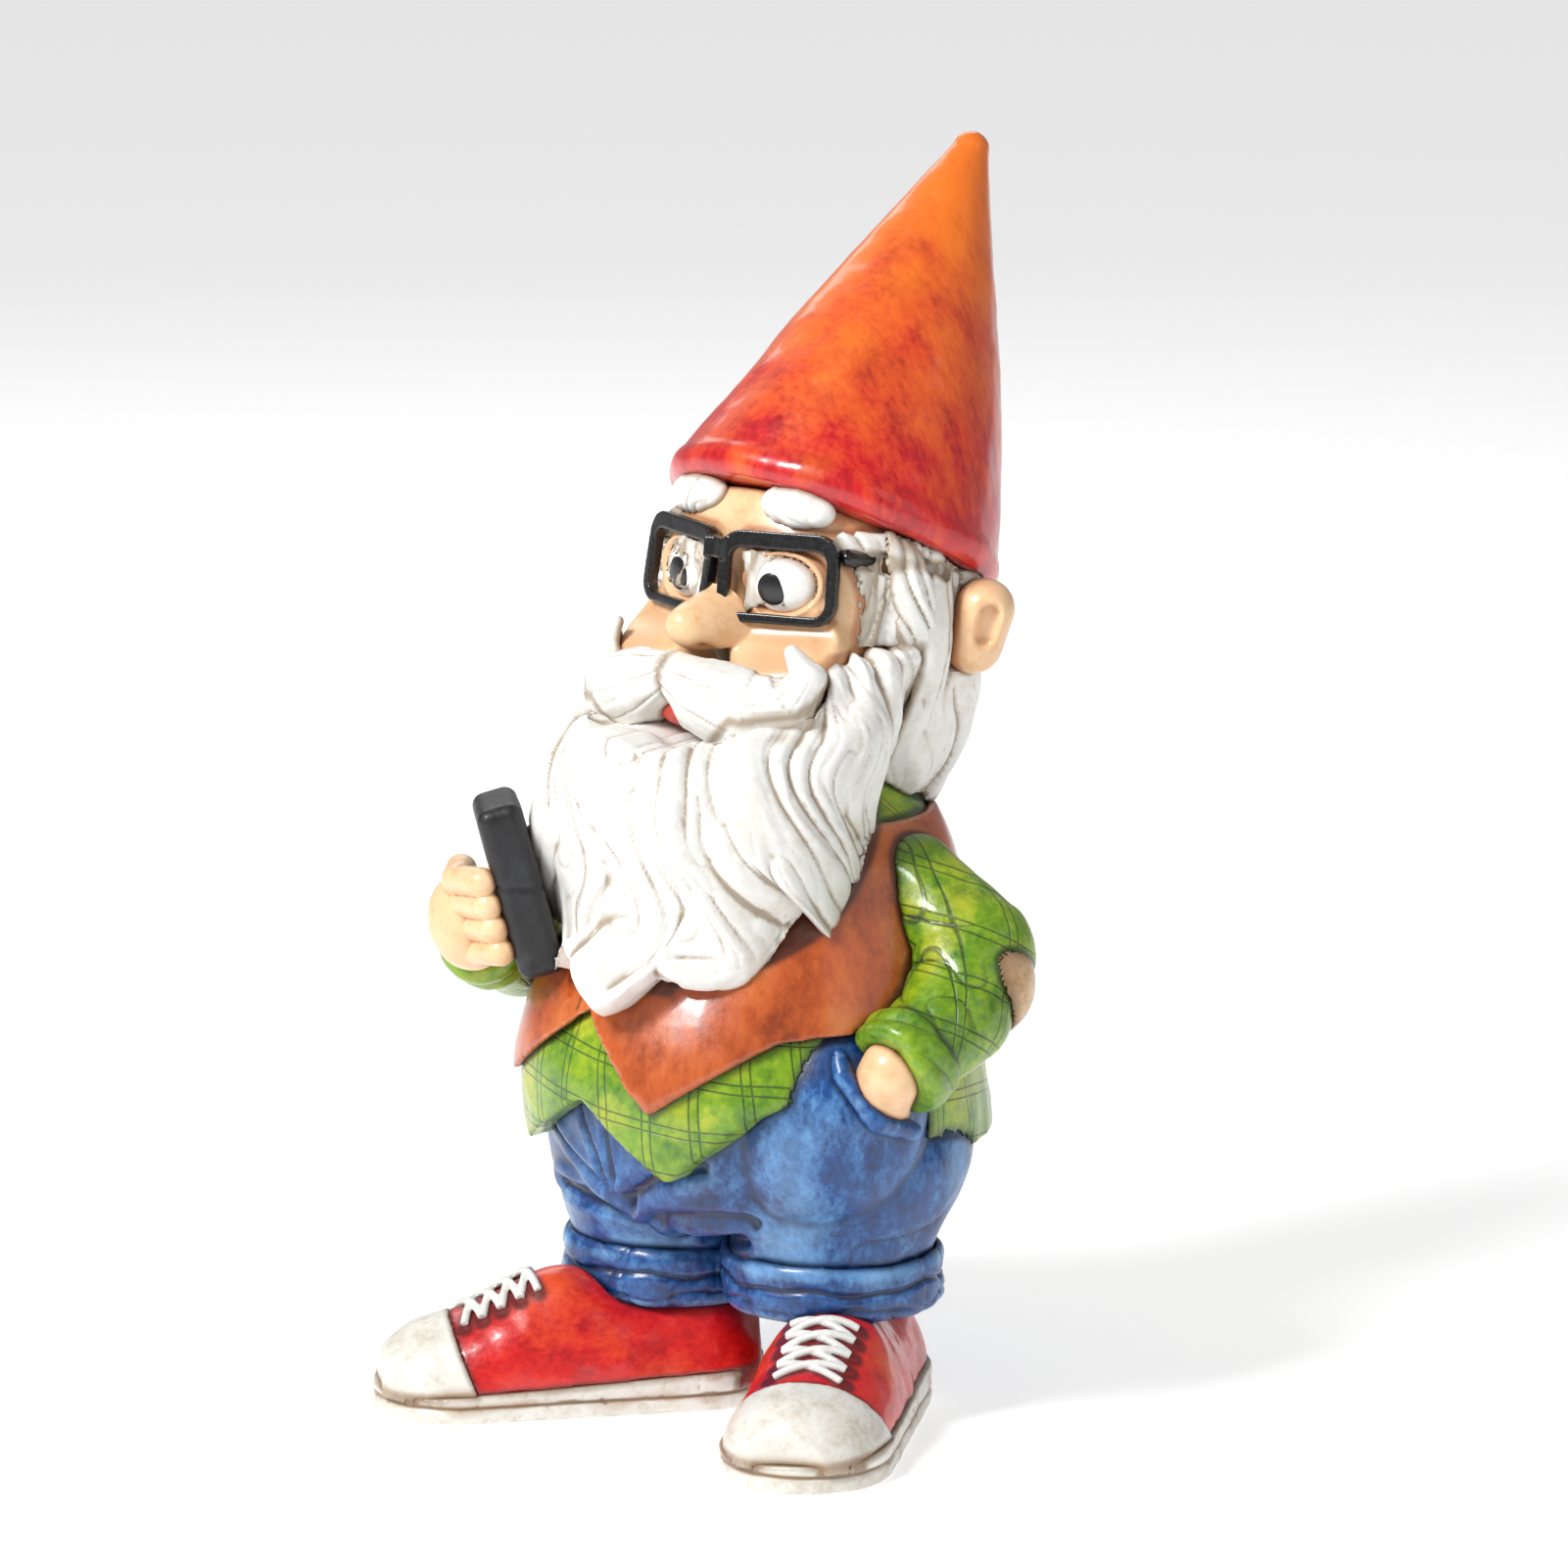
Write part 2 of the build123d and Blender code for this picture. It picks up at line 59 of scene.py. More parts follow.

# ---- Jeans ---------------------------------------------------------------------------
# The seat and both legs are one moulded and painted part of the casting, in solid resin.
# The modeller pressed the folds at the crotch, knees and fly into the clay; the painter
# brushed navy over them and dragged pale blue across what stands out, as a painted
# highlight, with wash and painted shade left in the folds.

# Every shape is worked in millimetres from the body's own upright axis: the hat is
# centred on it from side to side, and the tip of the nose stands this far in front.
NOSE_REACH = 13.5
axis_x = (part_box("hat")[0][0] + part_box("hat")[1][0]) / 2
axis_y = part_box("head")[0][1] + NOSE_REACH / 1000
middle = np.array([axis_x, axis_y, 0.0])

SEAM_FILL = 0.22  # swells each piece a little, so that the paint closes over the joins


def cast_from(node, voxel, rounds=2):
    """A fine, even copy of a node's own solid, its corners softened as a mould leaves
    them. voxel is the size of its faces in millimetres."""
    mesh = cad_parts[node].data.copy()
    merged = bmesh.new()
    merged.from_mesh(mesh)
    bmesh.ops.remove_doubles(merged, verts=merged.verts, dist=1e-5)
    merged.to_mesh(mesh)
    merged.free()
    piece = even_out(node + "_cast", mesh, voxel, rounds)
    press(piece, np.full(len(piece.data.vertices), SEAM_FILL))
    return piece


def even_out(name, mesh, voxel, rounds):
    """An object with the closed mesh rebuilt from small even faces."""
    piece = bpy.data.objects.new(name, mesh)
    bpy.context.collection.objects.link(piece)
    even = piece.modifiers.new("even", "REMESH")
    even.mode = "VOXEL"
    even.voxel_size = voxel / 1000
    calm = piece.modifiers.new("calm", "SMOOTH")
    calm.iterations = rounds
    bpy.context.view_layer.update()
    graph = bpy.context.evaluated_depsgraph_get()
    piece.data = bpy.data.meshes.new_from_object(piece.evaluated_get(graph))
    piece.modifiers.clear()
    piece.data.polygons.foreach_set("use_smooth", [True] * len(piece.data.polygons))
    return piece


def spots_of(piece):
    """Each vertex's place in millimetres from the body's axis, and its normal."""
    mesh = piece.data
    spots = np.empty(len(mesh.vertices) * 3)
    mesh.vertices.foreach_get("co", spots)
    facing = np.empty(len(mesh.vertices) * 3)
    mesh.vertices.foreach_get("normal", facing)
    return (spots.reshape(-1, 3) - middle) * 1000, facing.reshape(-1, 3)


def move_to(piece, spots):
    """Moves the vertices there, but not out of the model's own box."""
    places = np.clip(spots / 1000 + middle, np.array(cad_box[0]), np.array(cad_box[1]))
    piece.data.vertices.foreach_set("co", places.ravel())
    piece.data.update()


def press(piece, amount):
    """Moves the surface out by amount, in millimetres for each vertex."""
    spots, facing = spots_of(piece)
    move_to(piece, spots + facing * amount[:, None])


def lumps(spots, size, seed=0):
    """Smooth random values from -1 to 1; size is a lump's width, or one for each axis."""
    where = spots / np.array(size) + seed * 17.31
    cell = np.floor(where)
    part = where - cell
    part = part * part * (3 - 2 * part)
    total = np.zeros(len(spots))
    for corner in range(8):
        step = np.array([corner & 1, corner >> 1 & 1, corner >> 2 & 1])
        raw = np.sin((cell + step) @ np.array([127.1, 311.7, 74.7])) * 43758.5453
        weight = np.prod(np.where(step == 1, part, 1 - part), axis=1)
        total += (raw - np.floor(raw)) * weight
    return total * 2 - 1


def folds(spots, size, seed=0):
    """Folds with sharp bottoms: 0 along thin wandering lines, up to 1 between them."""
    return np.abs(lumps(spots, size, seed)) ** 0.6


def near(distance, width):
    """1 on a line, falling to 0 a few widths away."""
    return np.exp(-((distance / width) ** 2))


def to_path(flat, path):
    """Distance from each flat point to a line through the points of path."""
    best = np.full(len(flat), 1e9)
    for start, end in zip(path, path[1:]):
        start, end = np.array(start, float), np.array(end, float)
        along = end - start
        share = np.clip(((flat - start) @ along) / (along @ along), 0, 1)
        gap = np.linalg.norm(flat - start - share[:, None] * along, axis=1)
        best = np.minimum(best, gap)
    return best


def joins(piece, node, reach, skip=()):
    """1 where the surface meets another piece, falling to 0 at reach millimetres."""
    corners, faces = [], []
    low, high = (np.array(c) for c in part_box(node))
    for name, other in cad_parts.items():
        far_low, far_high = (np.array(c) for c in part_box(name))
        if name == node or name in skip or (far_low > high).any() or (far_high < low).any():
            continue
        first = len(corners)
        corners += [v.co[:] for v in other.data.vertices]
        faces += [[first + i for i in f.vertices] for f in other.data.polygons]
    if not faces:
        return np.zeros(len(piece.data.vertices))
    tree = BVHTree.FromPolygons(corners, faces)
    limit = reach / 1000
    gaps = [tree.find_nearest(v.co, limit)[3] for v in piece.data.vertices]
    return np.array([0 if g is None else 1 - g / limit for g in gaps])


def relax(piece, spots, rounds, share=1.0):
    """The places evened out: each vertex moves to the middle of its neighbours, by
    share, which is one number or one for each vertex."""
    mesh = piece.data
    ends = np.empty(len(mesh.edges) * 2, dtype=np.int32)
    mesh.edges.foreach_get("vertices", ends)
    one, other = ends[::2], ends[1::2]
    count = len(spots)
    joined = np.maximum(np.bincount(ends, minlength=count), 1)
    calm = spots.copy()
    for _ in range(rounds):
        for axis in range(calm.shape[1]):
            row = calm[:, axis]
            total = np.bincount(one, row[other], count) + np.bincount(other, row[one], count)
            calm[:, axis] = row + (total / joined - row) * share
    return calm


def mark_wash_and_shade(piece, rounds=10, full=0.3, reach=1.5, strength=0.75, skip=()):
    """Stores where wash and painted shade go: above 0 in grooves and where pieces meet,
    below 0 on ridges, for a painted highlight. full is the depth in millimetres that counts
    as 1."""
    spots, facing = spots_of(piece)
    calm = relax(piece, spots, rounds)
    value = ((calm - spots) * facing).sum(axis=1) / full
    node = piece.name.removesuffix("_cast").replace("_tied", "")
    value = np.maximum(value, strength * joins(piece, node, reach, skip))
    mark(piece, "wash", np.clip(value, -1, 1))


def mark(piece, name, value):
    """Stores one number for each vertex, for the paint to read."""
    layer = piece.data.attributes.new(name, "FLOAT", "POINT")
    layer.data.foreach_set("value", value.astype(np.float32))


def paint(
    name,
    tones,
    wash,
    worn,
    wash_share=0.85,
    drybrush_highlight_share=0.45,
    tint=None,
    lump=7.0,
    stroke=(1, 1, 1),
    rough=0.34,
    coat=0.35,
    bump=0.25,
    check=None,
    ink=None,
):
    """Brushed and varnished paint: three tones in soft lumps, wash and painted shade in the
    grooves and where pieces meet, a dragged lighter colour on the ridges that is a painted
    highlight, and tint where the piece's tint mark says.
    check is the spacing of scratched lines over the piece's across and up marks, and
    ink is the colour of a fine line drawn where the ink mark is 1."""
    material = bpy.data.materials.new(name)
    material.use_nodes = True
    nodes, links = material.node_tree.nodes, material.node_tree.links
    shader = nodes["Principled BSDF"]
    where = nodes.new("ShaderNodeTexCoord")
    turn = nodes.new("ShaderNodeMapping")
    turn.inputs["Scale"].default_value = stroke
    links.new(where.outputs["Object"], turn.inputs["Vector"])

    def speckle(size, detail, source):
        node = nodes.new("ShaderNodeTexNoise")
        node.inputs["Scale"].default_value = 1000 / size
        node.inputs["Detail"].default_value = detail
        node.inputs["Roughness"].default_value = 0.62
        links.new(source, node.inputs["Vector"])
        return node.outputs["Fac"]

    def blend(share, first, second):
        node = nodes.new("ShaderNodeMix")
        node.data_type = "RGBA"
        links.new(share, node.inputs["Factor"])
        links.new(first, node.inputs["A"])
        node.inputs["B"].default_value = (*second, 1)
        return node.outputs["Result"]

    def spread(value, low, high, top, bottom=0.0):
        node = nodes.new("ShaderNodeMapRange")
        node.inputs["From Min"].default_value = low
        node.inputs["From Max"].default_value = high
        node.inputs["To Min"].default_value = bottom
        node.inputs["To Max"].default_value = top
        links.new(value, node.inputs["Value"])
        return node.outputs["Result"]

    def maths(kind, first, second):
        node = nodes.new("ShaderNodeMath")
        node.operation = kind
        links.new(first, node.inputs[0])
        if isinstance(second, float):
            node.inputs[1].default_value = second
        else:
            links.new(second, node.inputs[1])
        return node.outputs[0]

    def marked(name):
        node = nodes.new("ShaderNodeAttribute")
        node.attribute_name = name
        return node.outputs["Fac"]

    broad = speckle(lump, 5, turn.outputs["Vector"])
    fine = speckle(lump * 0.22, 4, turn.outputs["Vector"])
    both = maths("ADD", maths("MULTIPLY", broad, 0.62), maths("MULTIPLY", fine, 0.38))
    ramp = nodes.new("ShaderNodeValToRGB")
    links.new(both, ramp.inputs["Fac"])
    band = ramp.color_ramp
    band.elements[0].position, band.elements[0].color = 0.36, (*tones[0], 1)
    band.elements[1].position, band.elements[1].color = 0.66, (*tones[2], 1)
    band.elements.new(0.5).color = (*tones[1], 1)
    colour = ramp.outputs["Color"]
    if tint:
        wander = maths("MULTIPLY", maths("SUBTRACT", both, 0.5), 1.6)
        share = spread(maths("ADD", marked("tint"), wander), 0.0, 1.0, 1.0)
        colour = blend(share, colour, tint)
    tremble = maths("MULTIPLY", maths("SUBTRACT", fine, 0.5), 0.3)
    ragged = maths("ADD", marked("wash"), tremble)
    # Lighter paint dry-brushed over the ridges: a painted highlight.
    colour = blend(spread(ragged, -0.12, -0.75, drybrush_highlight_share), colour, worn)
    # Dark wash in the grooves, with painted shade there and where pieces meet.
    colour = blend(spread(ragged, 0.08, 0.6, wash_share), colour, wash)
    if ink:
        colour = blend(spread(marked("ink"), 0.3, 0.6, 1.0), colour, ink)
    height = fine
    if check:
        lines = None
        for name in ("across", "up"):
            share = maths("FRACT", maths("DIVIDE", marked(name), check), 0.0)
            for centre in (0.39, 0.57):
                off = maths("ABSOLUTE", maths("SUBTRACT", share, centre), 0.0)
                line = spread(off, 0.008, 0.024, 0.0, 1.0)
                lines = maths("MAXIMUM", lines, line) if lines else line
        colour = blend(maths("MULTIPLY", lines, 0.7), colour, wash)
        height = maths("SUBTRACT", fine, lines)
    links.new(colour, shader.inputs["Base Color"])
    links.new(spread(fine, 0.3, 0.7, rough + 0.16, rough), shader.inputs["Roughness"])
    shader.inputs["Coat Weight"].default_value = coat
    shader.inputs["Coat Roughness"].default_value = 0.12
    relief = nodes.new("ShaderNodeBump")
    relief.inputs["Strength"].default_value = bump
    relief.inputs["Distance"].default_value = 0.0004
    links.new(height, relief.inputs["Height"])
    links.new(relief.outputs["Normal"], shader.inputs["Normal"])
    return material


def hand_over(piece, node, material):
    """The piece takes its paint and stands in the frame for its node."""
    piece.data.materials.clear()
    piece.data.materials.append(material)
    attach(piece, "root")
    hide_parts(node)


denim = paint(
    "denim_brushed_blue",
    ((0.003, 0.022, 0.10), (0.006, 0.062, 0.24), (0.045, 0.19, 0.46)),
    wash=(0.004, 0.012, 0.05),
    worn=(0.20, 0.38, 0.62),
    tint=(0.17, 0.38, 0.66),
    lump=6.0,
    stroke=(1, 1, 0.7),
)
# Folds seen from the front, each a line of (across, up) points.
FLY = [(-13, 66), (-10, 58), (-6, 48)]
FLY_EDGE = [(-6, 70), (-4, 60), (-4, 48)]
CROTCH_FOLDS = [
    [(-2, 45), (6, 50), (17, 54)],
    [(-3, 44), (-13, 48), (-25, 55)],
    [(1, 40), (10, 42), (22, 43)],
    [(-4, 39), (-14, 41), (-27, 42)],
    [(2, 36), (9, 36), (18, 38)],
]
jeans = cast_from("jeans", 0.72, 3)
p, n = spots_of(jeans)
front = np.clip(-n[:, 1] * 2, 0, 1)
flat = p[:, [0, 2]]
amount = 0.5 * lumps(p, 16, 1) + 0.28 * lumps(p, 7, 2)
for fold in CROTCH_FOLDS:
    gap = to_path(flat, fold)
    amount += front * (0.7 * near(gap - 3.2, 1.6) - 1.5 * near(gap, 1.3))
for seam in (FLY, FLY_EDGE):
    gap = to_path(flat, seam)
    amount += front * (0.45 * near(gap - 1.6, 0.8) - 0.9 * near(gap, 0.7))
KNEE_HEIGHT = 37
knee = near(p[:, 2] - KNEE_HEIGHT, 9)
amount -= 1.1 * knee * (1 - folds(p, (30, 30, 7), 3)) ** 2
press(jeans, amount)
mark_wash_and_shade(jeans, 9, 0.35)
p, n = spots_of(jeans)
mark(jeans, "tint", 0.8 * lumps(p, (9, 9, 14), 4) - 0.05)
hand_over(jeans, "jeans", denim)

# ---- Turn-ups ------------------------------------------------------------------------
# Each trouser leg ends in a rolled hem, moulded with the leg as a thick soft ring. It is
# lumpy where the cloth was folded over twice, and has a paler band along its top.

INNER_ROLL = 19.4  # the folds show outside this radius
for side in ("left", "right"):
    node = "turn_up_" + side
    roll = cast_from(node, 0.5, 2)
    p, n = spots_of(roll)
    low, high = p[:, 2].min(), p[:, 2].max()
    level = (p[:, 2] - low) / (high - low)
    hub = (p.min(axis=0) + p.max(axis=0)) / 2
    round_it = np.arctan2(p[:, 1] - hub[1], p[:, 0] - hub[0])
    outer = (np.linalg.norm(p[:, :2] - hub[:2], axis=1) > INNER_ROLL).astype(float)
    wave = 0.14 * np.sin(round_it * 5 + 1) + 0.07 * np.sin(round_it * 11)
    amount = 0.32 * lumps(p, (6, 6, 4), 5)
    amount -= outer * 0.85 * near(level - 0.56 - 0.3 * wave, 0.055)
    amount -= outer * 0.45 * near(level - 0.22 + 0.5 * wave, 0.04)
    amount -= outer * 0.6 * (1 - folds(p, (7, 7, 16), 6)) ** 3
    press(roll, amount)
    mark_wash_and_shade(roll, 8, 0.3)
    p, n = spots_of(roll)
    mark(roll, "tint", 0.9 * lumps(p, (7, 7, 3), 7) - 0.2 + 0.5 * near(level - 0.85, 0.1))
    hand_over(roll, node, denim)

# ---- Pocket edge ---------------------------------------------------------------------
# A rope-like seam moulded along the mouth of the left pocket, over the tucked-in hand.

welt = cast_from("pocket_welt", 0.35, 3)
p, n = spots_of(welt)
press(welt, 0.12 * lumps(p, 1.6, 8))
mark_wash_and_shade(welt, 5, 0.25)
mark(welt, "tint", 0.5 * lumps(p, 3, 9))
hand_over(welt, "pocket_welt", denim)

# ---- Shoes ---------------------------------------------------------------------------
# Canvas shoes moulded in one with their rubber and their crossed laces. The painter
# filled the upper in red over orange and left a brown wash, with painted shade, in the line
# where the sole is joined on.

canvas = paint(
    "canvas_red_over_orange",
    ((0.40, 0.003, 0.004), (0.62, 0.006, 0.006), (0.76, 0.020, 0.006)),
    wash=(0.06, 0.002, 0.004),
    worn=(0.80, 0.12, 0.03),
    tint=(0.76, 0.10, 0.015),
    lump=7.0,
    stroke=(1, 1, 1.5),
    rough=0.28,
    coat=0.5,
)
rubber = paint(
    "rubber_white_with_brown_wash",
    ((0.60, 0.54, 0.45), (0.74, 0.71, 0.64), (0.82, 0.81, 0.76)),
    wash=(0.22, 0.12, 0.05),
    worn=(0.86, 0.85, 0.82),
    tint=(0.36, 0.22, 0.10),
    lump=6.0,
    rough=0.36,
    coat=0.3,
)
cord_white = paint(
    "lace_white",
    ((0.66, 0.64, 0.58), (0.80, 0.79, 0.75), (0.86, 0.86, 0.84)),
    wash=(0.28, 0.16, 0.10),
    worn=(0.9, 0.9, 0.88),
    lump=3.0,
)


def as_mesh(name, made):
    """The finished bmesh, made into a mesh."""
    mesh = bpy.data.meshes.new(name)
    made.to_mesh(mesh)
    made.free()
    return mesh


SHOE_TURN = {"left": 28.5, "right": -40}  # degrees that each toe turns out
LACE_ROWS = 4
LACE_REACH = 6.5  # from the middle of the tongue to an eyelet
LACE_RADIUS = 0.85
SOLE_LINE = 3.3  # height of the groove that runs round each sole
CAP_EDGE = 5.2  # height of a brown band low on each toe cap
for side in ("left", "right"):
    upper = cast_from("shoe_upper_" + side, 0.5, 3)
    p, n = spots_of(upper)
    amount = 0.35 * lumps(p, 9, 11) + 0.18 * lumps(p, 3.4, 12)
    press(upper, amount)
    mark_wash_and_shade(upper, 9, 0.32)
    p, n = spots_of(upper)
    mark(upper, "tint", 0.8 * lumps(p, 10, 14) - 0.15)
    hand_over(upper, "shoe_upper_" + side, canvas)

    cap = cast_from("toe_cap_" + side, 0.45, 3)
    p, n = spots_of(cap)
    press(cap, 0.22 * lumps(p, 8, 15) + 0.1 * lumps(p, 2.6, 16))
    mark_wash_and_shade(cap, 9, 0.3)
    p, n = spots_of(cap)
    mark(cap, "tint", 0.9 * near(p[:, 2] - CAP_EDGE, 1.6) + 0.3 * lumps(p, 6, 17) - 0.2)
    hand_over(cap, "toe_cap_" + side, rubber)

    sole = cast_from("sole_" + side, 0.5, 2)
    p, n = spots_of(sole)
    edge = np.clip(1.6 - 2 * np.abs(n[:, 2]), 0, 1)
    amount = edge * (0.22 * lumps(p, (5, 5, 2), 18) - 0.55 * near(p[:, 2] - SOLE_LINE, 0.45))
    amount -= edge * 0.3 * (1 - folds(p, (6, 6, 1.6), 19)) ** 3
    press(sole, amount)
    mark_wash_and_shade(sole, 7, 0.25)
    p, n = spots_of(sole)
    # A brown band along the groove round each sole, and brown blotches over it.
    brown_band_and_blotches = 0.7 * near(p[:, 2] - SOLE_LINE, 0.8) + 0.9 * lumps(p, (6, 6, 2.4), 20)
    mark(sole, "tint", brown_band_and_blotches - 0.35)
    hand_over(sole, "sole_" + side, rubber)

    # White laces cross over the tongue, each stretch a thin cord that lies on it.
    turn = math.radians(SHOE_TURN[side])
    ahead = np.array([math.sin(turn), -math.cos(turn), 0])
    aside = np.array([math.cos(turn), math.sin(turn), 0])
    corners = np.array([v.co[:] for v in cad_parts["laces_" + side].data.vertices])
    corners = (corners - middle) * 1000
    start, end = (corners @ ahead).min() + 1, (corners @ ahead).max() - 1
    centre = (corners @ aside).min() / 2 + (corners @ aside).max() / 2
    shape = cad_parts["shoe_upper_" + side].data
    ground = BVHTree.FromPolygons(
        [v.co[:] for v in shape.vertices], [f.vertices[:] for f in shape.polygons]
    )
    knots = bmesh.new()
    for row in range(LACE_ROWS):
        for way in (1, -1):
            line = []
            for share in np.linspace(0, 1, 9):
                step = (end - start) / LACE_ROWS
                spot = ahead * (start + (row + share * 0.95) * step)
                spot = spot + aside * (centre + way * LACE_REACH * (1 - 2 * share))
                above = Vector(spot / 1000 + middle + np.array([0, 0, 0.08]))
                hit = ground.ray_cast(above, Vector((0, 0, -1)))[0]
                if hit:
                    lift = 0.6 + 0.5 * (way > 0) * math.sin(share * math.pi)
                    line.append((*(hit + Vector((0, 0, lift / 1000))), 1))
            curve = bpy.data.curves.new("lace", "CURVE")
            curve.dimensions = "3D"
            curve.bevel_depth = LACE_RADIUS / 1000
            curve.use_fill_caps = True
            spline = curve.splines.new("POLY")
            spline.points.add(len(line) - 1)
            spline.points.foreach_set("co", np.array(line).ravel())
            cord = bpy.data.objects.new("lace", curve)
            tube = bpy.data.meshes.new_from_object(cord)
            bpy.data.objects.remove(cord)
            knots.from_mesh(tube)
    laces = even_out("laces_tied_" + side, as_mesh("laces", knots), 0.24, 2)
    mark_wash_and_shade(laces, 4, 0.2, 0.7, 0.4)
    hand_over(laces, "laces_" + side, cord_white)

# ---- Shirt and sleeves ---------------------------------------------------------------
# A plaid shirt, moulded with its check scratched in as fine paired lines. The ground is
# green blotched with yellow, and the scratched lines hold a dark green wash.

plaid_green = paint(
    "plaid_green_and_yellow",
    ((0.050, 0.16, 0.004), (0.16, 0.31, 0.004), (0.34, 0.45, 0.008)),
    wash=(0.012, 0.035, 0.006),
    worn=(0.55, 0.60, 0.08),
    tint=(0.52, 0.50, 0.03),
    lump=9.0,
    rough=0.3,
    coat=0.45,
    bump=0.6,
    check=10.0,
)
BELLY_MIDDLE = 11  # how far behind the axis the middle of the belly is
BELLY_RADIUS = 44
WAIST = 78  # height from which the shirt hangs free behind
CHECK_START = 500  # keeps the check's coordinates above zero
shirt = cast_from("shirt", 0.66, 2)
p, n = spots_of(shirt)
around = np.arctan2(p[:, 0], BELLY_MIDDLE - p[:, 1]) * BELLY_RADIUS
slant = 0.12 * around
hang = np.clip((WAIST - p[:, 2]) / 25, 0, 1) * np.clip(n[:, 1] * 2, 0, 1)
amount = 0.4 * lumps(p, 13, 22) + 0.2 * lumps(p, 5, 23)
drape = np.c_[around, p[:, 2] * 0.2, p[:, 2] * 0]
amount -= 0.5 * hang * (1 - folds(drape, 12, 24)) ** 2
press(shirt, amount)
mark(shirt, "across", CHECK_START + around + 0.06 * p[:, 2] + 0.6 * lumps(p, 9, 44))
mark(shirt, "up", CHECK_START + p[:, 2] + slant + 0.6 * lumps(p, 9, 45))
mark_wash_and_shade(shirt, 8, 0.28)
p, n = spots_of(shirt)
mark(shirt, "tint", 0.9 * lumps(p, 9, 25) - 0.1)
hand_over(shirt, "shirt", plaid_green)

CUFF_ROLLS = 3
for side in ("left", "right"):
    sleeve = cast_from("sleeve_" + side, 0.5, 4)
    p, n = spots_of(sleeve)
    hub = (p.min(axis=0) + p.max(axis=0)) / 2
    amount = 0.45 * lumps(p, 9, 26) + 0.2 * lumps(p, 4, 27)
    bend = near(np.linalg.norm(p - hub - np.array([0, -4, 0]), axis=1), 17)
    amount -= 1.1 * bend * (1 - folds(p, (13, 7, 6), 28)) ** 2
    press(sleeve, amount)
    across = p[:, 1] * 0.9 - p[:, 2] * 0.45
    up = 3 + p[:, 2] * 0.85 + p[:, 1] * 0.5
    mark(sleeve, "across", CHECK_START + across + 0.5 * lumps(p, 8, 46))
    mark(sleeve, "up", CHECK_START + up + 0.5 * lumps(p, 8, 47))
    mark_wash_and_shade(sleeve, 8, 0.3)
    p, n = spots_of(sleeve)
    mark(sleeve, "tint", 0.9 * lumps(p, 8, 29) - 0.2)
    hand_over(sleeve, "sleeve_" + side, plaid_green)

    cuff = cast_from("sleeve_cuff_" + side, 0.4, 2)
    p, n = spots_of(cuff)
    start = np.array(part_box("sleeve_" + side)).mean(axis=0) * 1000
    reach = np.array(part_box("hand_" + side)).mean(axis=0) * 1000 - start
    reach /= np.linalg.norm(reach)
    along = p @ reach
    share = (along - along.min()) / (along.max() - along.min())
    rolls = share * math.pi * CUFF_ROLLS + 0.4 * lumps(p, 6, 30)
    amount = 0.55 * np.abs(np.sin(rolls)) - 0.3
    press(cuff, amount + 0.15 * lumps(p, 3, 31))
    for name in ("across", "up"):
        mark(cuff, name, np.zeros(len(p)))
    mark_wash_and_shade(cuff, 7, 0.3)
    p, n = spots_of(cuff)
    mark(cuff, "tint", 0.6 * lumps(p, 5, 32) - 0.4)
    hand_over(cuff, "sleeve_cuff_" + side, plaid_green)

# ---- Elbow patches -------------------------------------------------------------------
# An oval of leather on each elbow, moulded a little proud of the sleeve in one with it,
# and painted tan.

tan = paint(
    "patch_tan",
    ((0.42, 0.24, 0.10), (0.60, 0.38, 0.20), (0.72, 0.52, 0.32)),
    wash=(0.14, 0.06, 0.02),
    worn=(0.80, 0.66, 0.48),
    lump=4.0,
)
for side in ("left", "right"):
    patch = cast_from("elbow_patch_" + side, 0.35, 3)
    p, n = spots_of(patch)
    press(patch, 0.15 * lumps(p, 3, 33))
    mark_wash_and_shade(patch, 6, 0.25)
    hand_over(patch, "elbow_patch_" + side, tan)

# ---- Vest ----------------------------------------------------------------------------
# A short leather vest with two points in front, moulded over the shirt and painted orange
# brown in long strokes under a thick gloss varnish.

leather = paint(
    "vest_orange_brown",
    ((0.26, 0.040, 0.006), (0.46, 0.080, 0.010), (0.60, 0.13, 0.020)),
    wash=(0.045, 0.010, 0.004),
    worn=(0.74, 0.32, 0.12),
    tint=(0.62, 0.20, 0.05),
    lump=11.0,
    stroke=(1, 1, 0.5),
    rough=0.26,
    coat=0.6,
)
CHEST = 104  # the vest is smooth above this height
vest = cast_from("vest", 0.66, 2)
p, n = spots_of(vest)
around = np.arctan2(p[:, 0], BELLY_MIDDLE - p[:, 1]) * BELLY_RADIUS
amount = 0.4 * lumps(p, 14, 34)
pull = np.c_[around * 0.9 + p[:, 2] * 0.5, p[:, 2] * 0.25, p[:, 2] * 0]
amount -= 0.8 * (1 - folds(pull, 13, 35)) ** 3 * np.clip((CHEST - p[:, 2]) / 20, 0, 1)
press(vest, amount)
mark_wash_and_shade(vest, 9, 0.32)
p, n = spots_of(vest)
mark(vest, "tint", 0.8 * lumps(p, (8, 8, 14), 36) - 0.2)
hand_over(vest, "vest", leather)

# ---- Head, ears and hands ------------------------------------------------------------
# All bare skin is one warm colour, with orange shading brushed into the folds. The face
# has full cheeks, a round nose and lids pressed in round the eyes.

